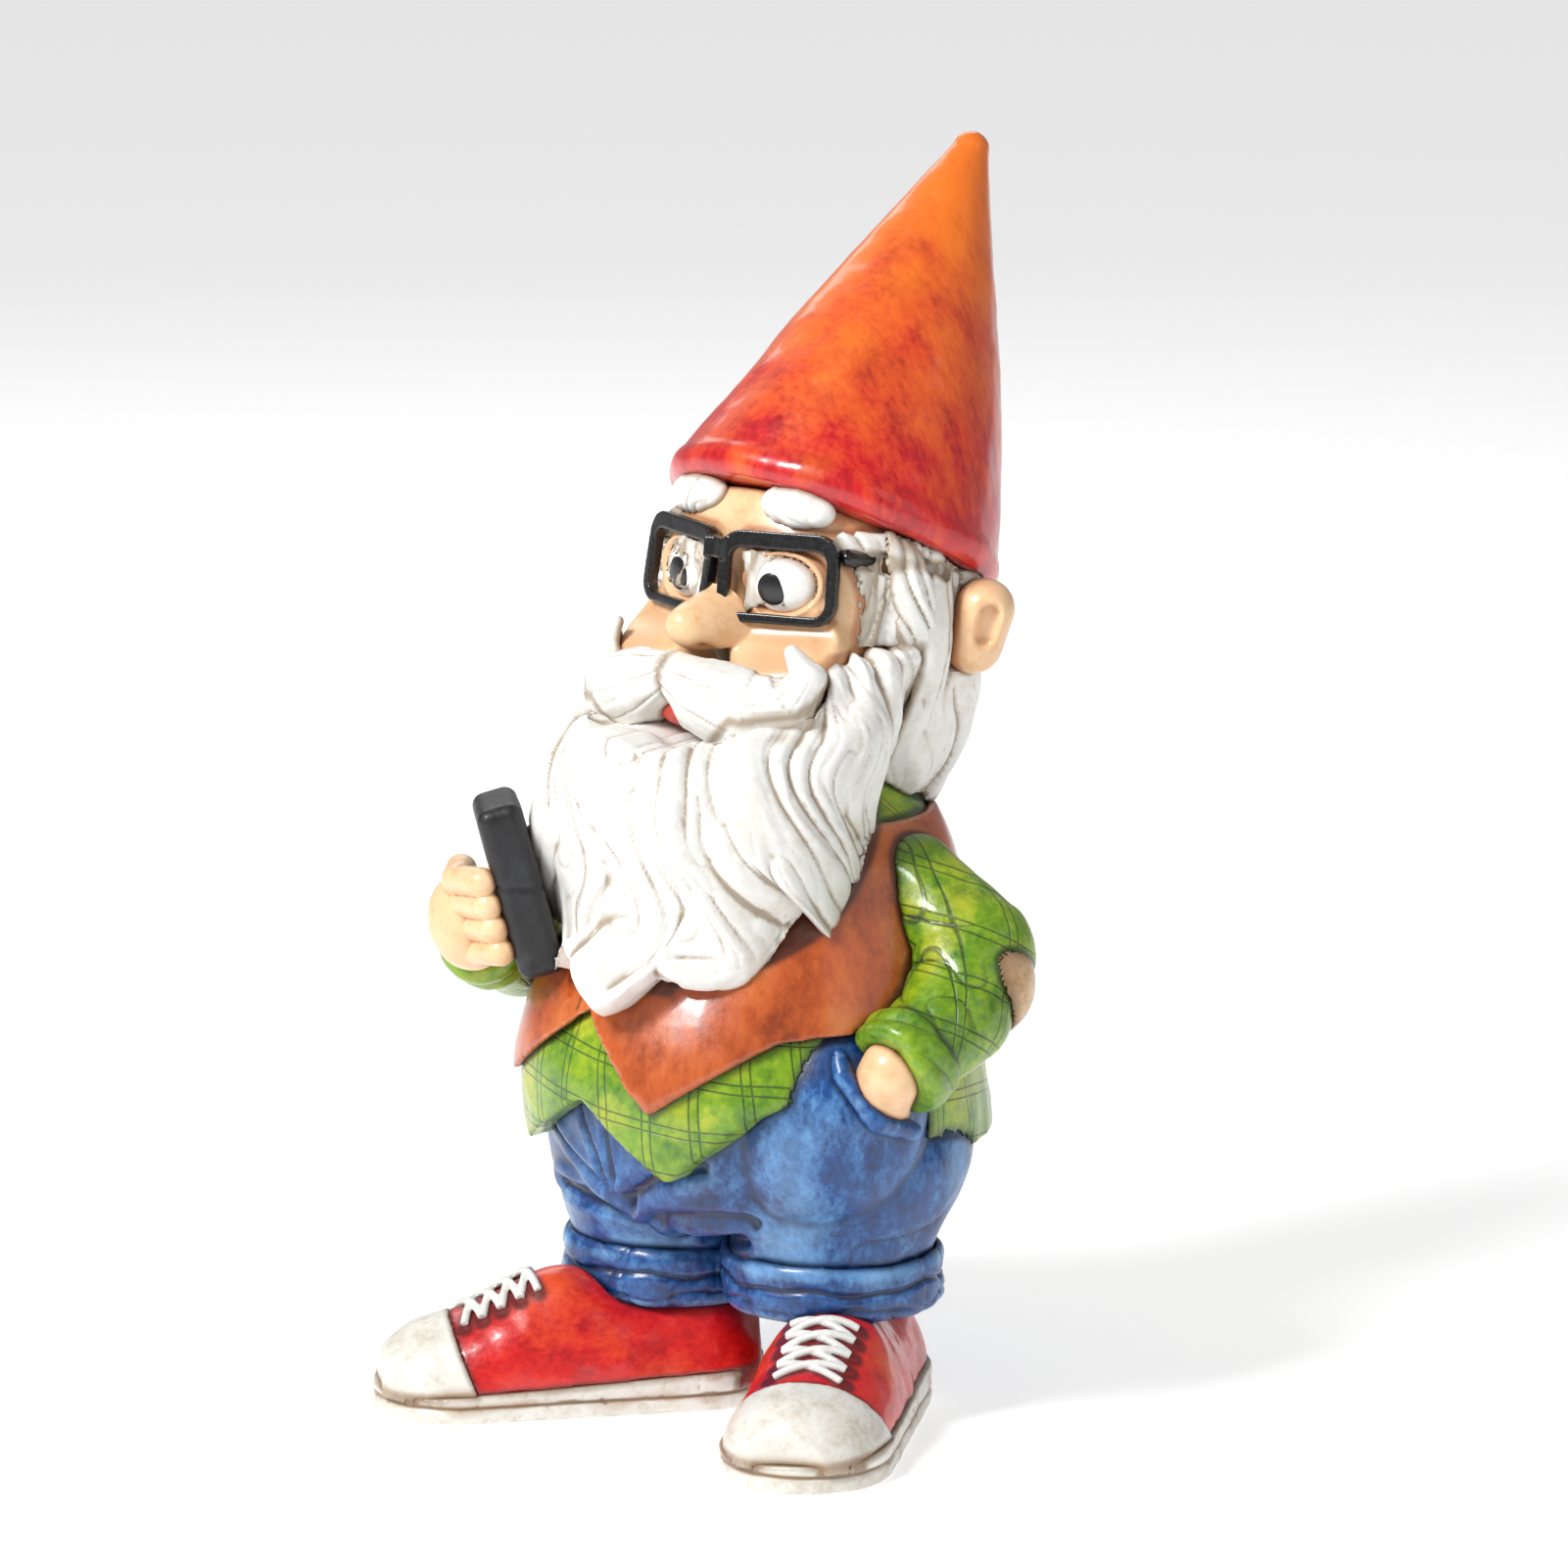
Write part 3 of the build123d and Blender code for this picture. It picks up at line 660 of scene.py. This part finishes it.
skin = paint(
    "skin_warm_with_orange_shade",
    ((0.76, 0.43, 0.21), (0.87, 0.56, 0.31), (0.91, 0.65, 0.40)),
    wash=(0.42, 0.13, 0.04),
    worn=(0.92, 0.74, 0.55),
    wash_share=0.8,
    drybrush_highlight_share=0.3,
    tint=(0.78, 0.30, 0.14),
    lump=9.0,
    rough=0.3,
    coat=0.4,
    bump=0.12,
    ink=(0.012, 0.006, 0.004),
)
EYE = (12.5, 162.0)  # across and up
EYE_SIZE = (6.3, 5.1)  # half of what shows of each eye
NOSE_SIZE, NOSE_HEIGHT = (6.2, 7.2), 152.5  # half across and half up, and its middle
CHEEK = (17, -4, 147)
NOSTRIL = (3.6, -8.4, 149.6)
GLASSES_HEIGHT = 163.5


def round_eye(spots):
    """1 on the edge of the nearer eye, less inside it and more outside."""
    across = (np.abs(spots[:, 0]) - EYE[0]) / EYE_SIZE[0]
    return np.hypot(across, (spots[:, 2] - EYE[1]) / EYE_SIZE[1])


def behind_rims(spots):
    """The y of the plane that the glasses' rims stand on."""
    return -1 + 0.344 * np.abs(spots[:, 0]) + 0.176 * (spots[:, 2] - GLASSES_HEIGHT)


def from_spot(spots, spot, sign):
    """Distance from a spot given for the left side, or from its twin if sign is -1."""
    return np.linalg.norm(spots - np.array(spot) * np.array([sign, 1, 1]), axis=1)


head = cast_from("head", 0.5, 6)
p, n = spots_of(head)
# The cheeks and the nose give way under the rims of the glasses, from this height up.
GIVE_START = 144.5
rise = np.clip((p[:, 2] - GIVE_START) / 8.5, 0, 1)
stop = -12 + (behind_rims(p) + 12.5) * rise * rise * (3 - 2 * rise)
nose = np.sqrt(np.clip(1 - ((p[:, 2] - NOSE_HEIGHT) / NOSE_SIZE[1]) ** 2, 0, 1))
clear = np.abs(p[:, 0]) > NOSE_SIZE[0] * nose + 0.4
clear &= (p[:, 2] > GIVE_START) & (p[:, 1] < 18)
p[:, 1] = np.where(clear, np.maximum(p[:, 1], stop), p[:, 1])
face = np.clip((18 - p[:, 1]) / 6, 0, 1)
p = relax(head, p, 45, 0.8 * face)
move_to(head, p)
p, n = spots_of(head)
edge = round_eye(p)
upper = np.clip((p[:, 2] - 159.5) / 3, 0, 1)
lid = 0.9 * near(edge - 1.2, 0.09) * upper + 0.35 * near(edge - 1.2, 0.08)
crease = 0.7 * near(edge - 1.42, 0.07) * upper
socket = 1.2 * np.clip((1.12 - edge) / 0.16, 0, 1)
amount = face * (lid - crease - socket)
for sign in (-1, 1):
    amount -= 1.6 * near(from_spot(p, NOSTRIL, sign), 1.7)
press(head, amount + 0.12 * lumps(p, 9, 37))
mark_wash_and_shade(head, 12, 0.5, 1.2, 0.6, ("eye_left", "eye_right"))
p, n = spots_of(head)
# Blush on the cheeks, and painted shade in orange round the eyes and in the nostrils.
blush_and_shade = 0.35 * near(round_eye(p) - 1.3, 0.25)
for sign in (-1, 1):
    blush_and_shade += 0.55 * near(from_spot(p, CHEEK, sign), 8)
    blush_and_shade += 0.9 * near(from_spot(p, NOSTRIL, sign), 2.2)
mark(head, "tint", blush_and_shade - 0.1)
lashes = near(round_eye(p) - 1.05, 0.055) * np.clip((p[:, 2] - 158) / 3, 0, 1)
mark(head, "ink", lashes * face)
hand_over(head, "head", skin)
for side in ("left", "right"):
    ear = cast_from("ear_" + side, 0.4, 3)
    mark_wash_and_shade(ear, 10, 0.5)
    p, n = spots_of(ear)
    mark(ear, "tint", 0.3 * lumps(p, 4, 38))
    hand_over(ear, "ear_" + side, skin)
    hand = cast_from("hand_" + side, 0.38, 3)
    p, n = spots_of(hand)
    press(hand, 0.08 * lumps(p, 3, 39))
    mark_wash_and_shade(hand, 10, 0.4)
    p, n = spots_of(hand)
    mark(hand, "tint", 0.3 * lumps(p, 5, 40) - 0.05)
    hand_over(hand, "hand_" + side, skin)

# ---- Eyes and lip --------------------------------------------------------------------
# White domes with black dots, brushed on last and varnished to a high gloss, and a red
# lower lip that shows under the moustache.

gloss_white = paint(
    "eye_gloss_white",
    ((0.74, 0.72, 0.66), (0.84, 0.83, 0.79), (0.88, 0.88, 0.86)),
    wash=(0.30, 0.12, 0.06),
    worn=(0.9, 0.9, 0.9),
    lump=4.0,
    rough=0.12,
    coat=0.8,
    bump=0.03,
)
gloss_black = paint(
    "gloss_black",
    ((0.004, 0.004, 0.005), (0.006, 0.006, 0.007), (0.010, 0.010, 0.012)),
    wash=(0.002, 0.002, 0.002),
    worn=(0.06, 0.06, 0.07),
    drybrush_highlight_share=0.3,
    lump=4.0,
    rough=0.2,
    coat=0.3,
    bump=0.05,
)
red_lip = paint(
    "lip_red",
    ((0.45, 0.03, 0.02), (0.62, 0.05, 0.035), (0.70, 0.10, 0.07)),
    wash=(0.2, 0.01, 0.01),
    worn=(0.8, 0.3, 0.25),
    lump=3.0,
)


def from_millimetres(made):
    """Takes a bmesh from millimetres round the body's axis to its place in metres."""
    bmesh.ops.scale(made, vec=(0.001, 0.001, 0.001), verts=made.verts)
    bmesh.ops.translate(made, vec=middle, verts=made.verts)


def painted_dome(name, place, radii, lean):
    """A flattened ball set in the face; lean is how much its outer side turns back."""
    ball = bmesh.new()
    bmesh.ops.create_uvsphere(ball, u_segments=64, v_segments=40, radius=1)
    bmesh.ops.scale(ball, vec=radii, verts=ball.verts)
    for vertex in ball.verts:
        vertex.co.y += lean * vertex.co.x
    bmesh.ops.translate(ball, vec=place, verts=ball.verts)
    from_millimetres(ball)
    mesh = as_mesh(name, ball)
    mesh.polygons.foreach_set("use_smooth", [True] * len(mesh.polygons))
    dome = bpy.data.objects.new(name, mesh)
    bpy.context.collection.objects.link(dome)
    return dome


for side, sign in (("left", 1), ("right", -1)):
    place = (sign * EYE[0], 4.7, EYE[1])
    eye = painted_dome("eye_white_" + side, place, (6.2, 2.8, 5.3), sign * 0.31)
    p, n = spots_of(eye)
    # Wash and painted shade round the rim of each eye white, where the lids meet it.
    mark(eye, "wash", 0.5 * np.clip(round_eye(p) * 4 - 3.3, 0, 1))
    hand_over(eye, "eye_" + side, gloss_white)
    place = (sign * (EYE[0] - 0.3) - 0.4, 2.35, EYE[1] - 0.4)
    pupil = painted_dome("eye_pupil_" + side, place, (3.1, 0.8, 3.2), sign * 0.3)
    p, n = spots_of(pupil)
    mark(pupil, "wash", np.zeros(len(p)))
    hand_over(pupil, "pupil_" + side, gloss_black)
lip = cast_from("lip", 0.3, 3)
mark_wash_and_shade(lip, 6, 0.4)
hand_over(lip, "lip", red_lip)

# ---- Glasses -------------------------------------------------------------------------
# Thick square rims without lenses, moulded against the face and painted gloss black, with
# an arm on each side that runs back under the hair.

LENS = (24.4, 17.5)  # across and up, with the rim
LENS_CORNER = 4.4
RIM = 2.1
RIM_DEPTH = 2.4
WRAP, TILT = math.radians(19), math.radians(10)  # how far each rim turns and leans back
frames = bmesh.new()
for sign in (1, -1):
    rim = bmesh.new()
    bmesh.ops.create_grid(rim, x_segments=1, y_segments=1, size=0.5)
    bmesh.ops.scale(rim, vec=(*LENS, 1), verts=rim.verts)
    bmesh.ops.bevel(
        rim,
        geom=rim.verts[:],
        offset=LENS_CORNER,
        segments=8,
        profile=0.5,
        affect="VERTICES",
        material=-1,
    )
    lens = rim.faces[:]
    bmesh.ops.inset_region(
        rim, faces=lens, thickness=RIM, use_even_offset=True, use_boundary=True
    )
    for vertex in lens[0].verts:  # thicker along the top
        vertex.co.y -= 1.2 if vertex.co.y > 0 else 0.2
    bmesh.ops.delete(rim, geom=lens, context="FACES")
    bridge = bmesh.ops.create_grid(rim, x_segments=2, y_segments=2, size=0.5)["verts"]
    bmesh.ops.scale(rim, vec=(5.4, 4, 1), verts=bridge)
    inner_end = (-sign * (LENS[0] / 2 + 0.6), LENS[1] / 2 - 3.6, 0)
    bmesh.ops.translate(rim, vec=inner_end, verts=bridge)
    bmesh.ops.solidify(rim, geom=rim.faces[:], thickness=RIM_DEPTH)
    off_centre = (sign * (LENS[0] / 2 + 1), 0, RIM_DEPTH / 2)
    bmesh.ops.translate(rim, vec=off_centre, verts=rim.verts)
    out = Vector((sign * math.sin(WRAP), -math.cos(WRAP), math.tan(TILT))).normalized()
    along = Vector((math.cos(WRAP), sign * math.sin(WRAP), 0))
    turn = Matrix((along, out.cross(along), out)).transposed()
    bmesh.ops.rotate(rim, cent=(0, 0, 0), matrix=turn, verts=rim.verts)
    bmesh.ops.translate(rim, vec=(0, -1.2, GLASSES_HEIGHT), verts=rim.verts)
    bmesh.ops.recalc_face_normals(rim, faces=rim.faces)
    frames.from_mesh(as_mesh("rim", rim))
from_millimetres(frames)
glasses = even_out("glasses_rims", as_mesh("rims", frames), 0.25, 5)
p, n = spots_of(glasses)
press(glasses, 0.06 * lumps(p, 3, 41))
mark(glasses, "wash", np.zeros(len(p)))
hand_over(glasses, "glasses_front", gloss_black)
for side in ("left", "right"):
    arm = cast_from("glasses_arm_" + side, 0.3, 3)
    p, n = spots_of(arm)
    p[:, 0] -= np.sign(p[:, 0]) * 4.5 * np.clip((p[:, 1] - 7) / 12, 0, 1)
    move_to(arm, p)
    mark_wash_and_shade(arm, 8, 0.4)
    hand_over(arm, "glasses_arm_" + side, gloss_black)

# ---- Beard ---------------------------------------------------------------------------
# The beard and whiskers are modelled in deep S-shaped locks that end in points, with finer
# strands cut along each lock. A cream and brown wash was wiped over the white and left in
# the grooves, together with painted shade in the grooves and where other pieces lie on it.

white_hair = paint(
    "hair_white_with_cream_wash",
    ((0.74, 0.71, 0.64), (0.83, 0.82, 0.78), (0.88, 0.88, 0.86)),
    wash=(0.30, 0.21, 0.12),
    worn=(0.93, 0.93, 0.92),
    wash_share=0.8,
    drybrush_highlight_share=0.6,
    lump=8.0,
    rough=0.36,
    coat=0.25,
    bump=0.15,
)


def locks(across, up, seed):
    """Height of combed locks: across runs over them, up along them, in millimetres."""
    sway = 3.2 * np.sin(up / 10 + across / 17) + 1.3 * np.sin(up / 4.7 + across / 6)
    flow = np.c_[across + sway, up * 0.12, np.zeros(len(up))]
    big = folds(flow, 7.4, seed) ** 1.3 * 3.3
    mid = folds(flow, 3.0, seed + 1) ** 1.2 * 1.2
    small = folds(flow * np.array([1, 1.6, 1]), 1.2, seed + 2) * 0.4
    return 1.2 * (big + mid + small - 2.4)


# The moustache sweeps out from under the nose and curls up at its ends: points of the
# left half's middle line.
SWEEP = [
    (0.6, -12.6, 145.5),
    (8, -12.4, 142.5),
    (16, -9, 139.4),
    (22.5, -5, 141),
    (25, -2.4, 146.4),
    (22.6, -4.4, 151.6),
]
MOUSTACHE_HALF = 8.5  # the beard sinks at this distance from that line
BEARD_MIDDLE = 22  # how far behind the axis the middle of the beard's round is
BEARD_RADIUS = 38
LOCK_WIDTH = 11
beard = cast_from("beard", 0.5, 3)
p, n = spots_of(beard)
# The whiskers close up under the lip, slope in beside the face without a step, and lie
# over the arms of the glasses.
chin = near(p[:, 0], 13) * near(p[:, 2] - 130, 6) * (p[:, 1] < 6)
p[:, 2] += 6.5 * chin
p[:, 1] -= 1.0 * chin
hub = np.array([0, 24])
outward = (p[:, :2] - hub) / np.linalg.norm(p[:, :2] - hub, axis=1)[:, None]
slope = np.clip((p[:, 2] - 136) / 14, 0, 1)
p[:, :2] += outward * np.where(p[:, 2] < 150.4, -2.6 * slope, 1.2)[:, None]
temple = np.clip((p[:, 2] - 140) / 8, 0, 1) * np.clip((np.abs(p[:, 0]) - 17) / 4, 0, 1)
p = relax(beard, p, 40, 0.9 * temple)
p[:, :2] += outward * (1.6 * temple)[:, None]
move_to(beard, p)
around = np.arctan2(p[:, 0], BEARD_MIDDLE - p[:, 1]) * BEARD_RADIUS
sides = np.clip((np.abs(around) - 12) / 25, 0, 1)
comb = around + np.sign(around) * sides * (p[:, 2] - 125) * 0.35
amount = locks(comb, p[:, 2], 50)
for sign in (1, -1):
    gap = to_path(p, np.array(SWEEP) * np.array([sign, 1, 1]))
    amount -= 1.3 * near(gap - MOUSTACHE_HALF, 2.6)
press(beard, amount)
p, n = spots_of(beard)
tips = np.clip((122 - p[:, 2]) / 22, 0, 1) ** 1.4
lane = comb + 3.2 * np.sin(p[:, 2] / 10 + comb / 17)
tooth = np.abs((lane / LOCK_WIDTH + 0.2) % 1 - 0.5) * 2
points = 8 * tooth**1.3 - 3.0 + 2.0 * lumps(np.c_[lane, lane * 0, lane * 0], 6, 55)
p[:, 2] += tips * points
move_to(beard, p)
mark_wash_and_shade(beard, 9, 0.48)
hand_over(beard, "beard", white_hair)

# ---- Hair behind the ears ------------------------------------------------------------
# The same combed white locks go round the back of the head, from under the hat down to
# the collar, moulded in one with the head.

NAPE_MIDDLE = 25
NAPE_RADIUS = 32
hair = cast_from("hair", 0.55, 3)
p, n = spots_of(hair)
around = np.arctan2(p[:, 0], p[:, 1] - NAPE_MIDDLE) * NAPE_RADIUS
press(hair, locks(around, p[:, 2], 60))
mark_wash_and_shade(hair, 9, 0.55)
hand_over(hair, "hair", white_hair)

# ---- Moustache and eyebrows ----------------------------------------------------------
# The moustache is two full lobes laid over the beard, thick beside the nose and drawn out
# to the tips. Each eyebrow is a short tuft pressed on under the rim of the hat. Strands
# are cut along them all.

for side, sign in (("left", 1), ("right", -1)):
    lobe = cast_from("moustache_" + side, 0.36, 4)
    p, n = spots_of(lobe)
    path = np.array(SWEEP) * np.array([sign, 1, 1])
    best = np.full(len(p), 1e9)
    turn = np.zeros(len(p))
    run = np.zeros(len(p))
    length = 0.0
    for start, end in zip(path, path[1:]):
        along = end - start
        reach = np.linalg.norm(along)
        share = np.clip(((p - start) @ along) / reach**2, 0, 1)
        away = p - start - share[:, None] * along
        gap = np.linalg.norm(away, axis=1)
        closer = gap < best
        best = np.where(closer, gap, best)
        out = np.array([0.0, -1.0, 0.0]) - along * (-along[1]) / reach**2
        out /= np.linalg.norm(out)
        over = np.cross(along / reach, out)
        turn = np.where(closer, np.arctan2(away @ over, away @ out), turn)
        run = np.where(closer, length + share * reach, run)
        length += reach
    strand = np.c_[turn * 5 + 0.9 * np.sin(run / 6), run * 0.1, run * 0]
    amount = folds(strand, 2.4, 70) * 0.7 + folds(strand, 1.0, 71) * 0.4 - 0.6
    body = np.clip((length - run) / 9, 0, 1)
    press(lobe, amount * body + 1.5 * near(run - 0.4 * length, 0.28 * length))
    mark_wash_and_shade(lobe, 8, 0.35)
    hand_over(lobe, "moustache_" + side, white_hair)

    brow = cast_from("eyebrow_" + side, 0.3, 3)
    p, n = spots_of(brow)
    hub = p.mean(axis=0)
    p = hub + (p - hub) * np.array([1.2, 1.15, 1.1])
    move_to(brow, p)
    nicks = np.c_[p[:, 0] + p[:, 2] * 0.4 * sign, p[:, 2] * 0.3, p[:, 0] * 0]
    press(brow, 0.6 * folds(nicks, 1.8, 72) - 0.25)
    mark_wash_and_shade(brow, 6, 0.3)
    hand_over(brow, "eyebrow_" + side, white_hair)

# ---- Hat -----------------------------------------------------------------------------
# A tall felt cone with a rolled edge, moulded with a few soft dents. Red was laid on from
# the brim and worked up into orange towards the tip, in short cross strokes.

felt = paint(
    "hat_red_to_orange",
    ((0.36, 0.002, 0.005), (0.58, 0.004, 0.008), (0.70, 0.020, 0.008)),
    wash=(0.16, 0.004, 0.003),
    worn=(0.86, 0.20, 0.05),
    tint=(0.82, 0.17, 0.008),
    lump=8.0,
    stroke=(1.0, 1.4, 0.55),
    rough=0.27,
    coat=0.6,
)
hat = cast_from("hat", 0.62, 3)
p, n = spots_of(hat)
amount = 0.55 * lumps(p, 22, 80) + 0.3 * lumps(p, 9, 81) + 0.08 * lumps(p, 3, 82)
press(hat, amount)
mark_wash_and_shade(hat, 12, 0.5)
p, n = spots_of(hat)
RED_UP_TO = 172  # the orange starts at this height and is full 66 mm higher
rise = (p[:, 2] - RED_UP_TO) / 66
mark(hat, "tint", 1.25 * rise - 0.12 + 0.35 * lumps(p, 7, 83))
hand_over(hat, "hat", felt)

# ---- Phone ---------------------------------------------------------------------------
# A thick slab with rounded corners, moulded upright in the right hand and parted by one
# groove. It is painted charcoal, with grey dry-brushed along its edges as a painted
# highlight.

charcoal = paint(
    "phone_charcoal",
    ((0.004, 0.004, 0.005), (0.008, 0.008, 0.010), (0.020, 0.021, 0.026)),
    wash=(0.004, 0.004, 0.005),
    worn=(0.16, 0.165, 0.19),
    drybrush_highlight_share=0.6,
    tint=(0.05, 0.052, 0.06),
    lump=5.0,
    stroke=(1, 1, 0.5),
    rough=0.42,
    coat=0.12,
)
phone = cast_from("phone", 0.4, 2)
p, n = spots_of(phone)
from_middle = p[:, 2] - (p[:, 2].min() + p[:, 2].max()) / 2
amount = 0.1 * lumps(p, 4, 90) + 0.05 * lumps(p, 1.6, 91)
press(phone, amount - 0.35 * near(from_middle - 1, 0.5))
mark_wash_and_shade(phone, 8, 0.3)
mark(phone, "tint", 0.7 * lumps(p, (4, 4, 9), 92) - 0.35)
hand_over(phone, "phone", charcoal)

# ---- Floor, light and camera ---------------------------------------------------------
# A plain pale studio floor, one soft lamp high on the left, a weaker one on the right and
# another behind.

bed = bmesh.new()
bmesh.ops.create_grid(bed, x_segments=1, y_segments=1, size=6)
floor_mesh = as_mesh("floor", bed)
floor = bpy.data.objects.new("floor", floor_mesh)
bpy.context.collection.objects.link(floor)
pale = bpy.data.materials.new("floor_pale")
pale.use_nodes = True
surface = pale.node_tree.nodes["Principled BSDF"].inputs
surface["Base Color"].default_value = (0.86, 0.86, 0.86, 1)
surface["Roughness"].default_value = 0.7
surface["Emission Color"].default_value = (1, 1, 1, 1)
surface["Emission Strength"].default_value = 0.5
floor_mesh.materials.append(pale)

AZIMUTH, ELEVATION = math.radians(42), math.radians(12)
AIM = Vector((0.0, 18.5, 119.5))  # millimetres from the body's axis
AWAY = 1500.0
look = Vector(
    (
        math.sin(AZIMUTH) * math.cos(ELEVATION),
        -math.cos(AZIMUTH) * math.cos(ELEVATION),
        math.sin(ELEVATION),
    )
)
target = AIM / 1000 + Vector(middle)


def lamp(name, azimuth, elevation, away, size, power):
    """A square soft lamp aimed at the figure; azimuth is from the front, to its left."""
    turn, lift = math.radians(azimuth), math.radians(elevation)
    place = Vector(
        (math.sin(turn) * math.cos(lift), -math.cos(turn) * math.cos(lift), math.sin(lift))
    )
    data = bpy.data.lights.new(name, "AREA")
    data.size = size
    data.energy = power
    light = bpy.data.objects.new(name, data)
    light.location = target + place * away
    light.rotation_euler = place.to_track_quat("Z", "Y").to_euler()
    bpy.context.collection.objects.link(light)


# Azimuth, elevation, distance and size in metres, and power in watts.
lamp("key", -8, 44, 1.1, 0.32, 12.5)
lamp("fill", 95, 25, 1.3, 0.9, 1.6)
lamp("back", -130, 35, 1.2, 0.7, 2.5)
world = bpy.data.worlds.new("studio")
world.use_nodes = True
world.node_tree.nodes["Background"].inputs["Color"].default_value = (1, 1, 1, 1)
world.node_tree.nodes["Background"].inputs["Strength"].default_value = 0.3
bpy.context.scene.world = world
bpy.context.scene.view_settings.view_transform = "Standard"

camera_data = bpy.data.cameras.new("camera")
camera_data.sensor_width = 36
camera_data.lens = 178.3
camera = bpy.data.objects.new("camera", camera_data)
camera.location = target + look * (AWAY / 1000)
camera.rotation_euler = look.to_track_quat("Z", "Y").to_euler()
bpy.context.collection.objects.link(camera)
bpy.context.scene.camera = camera
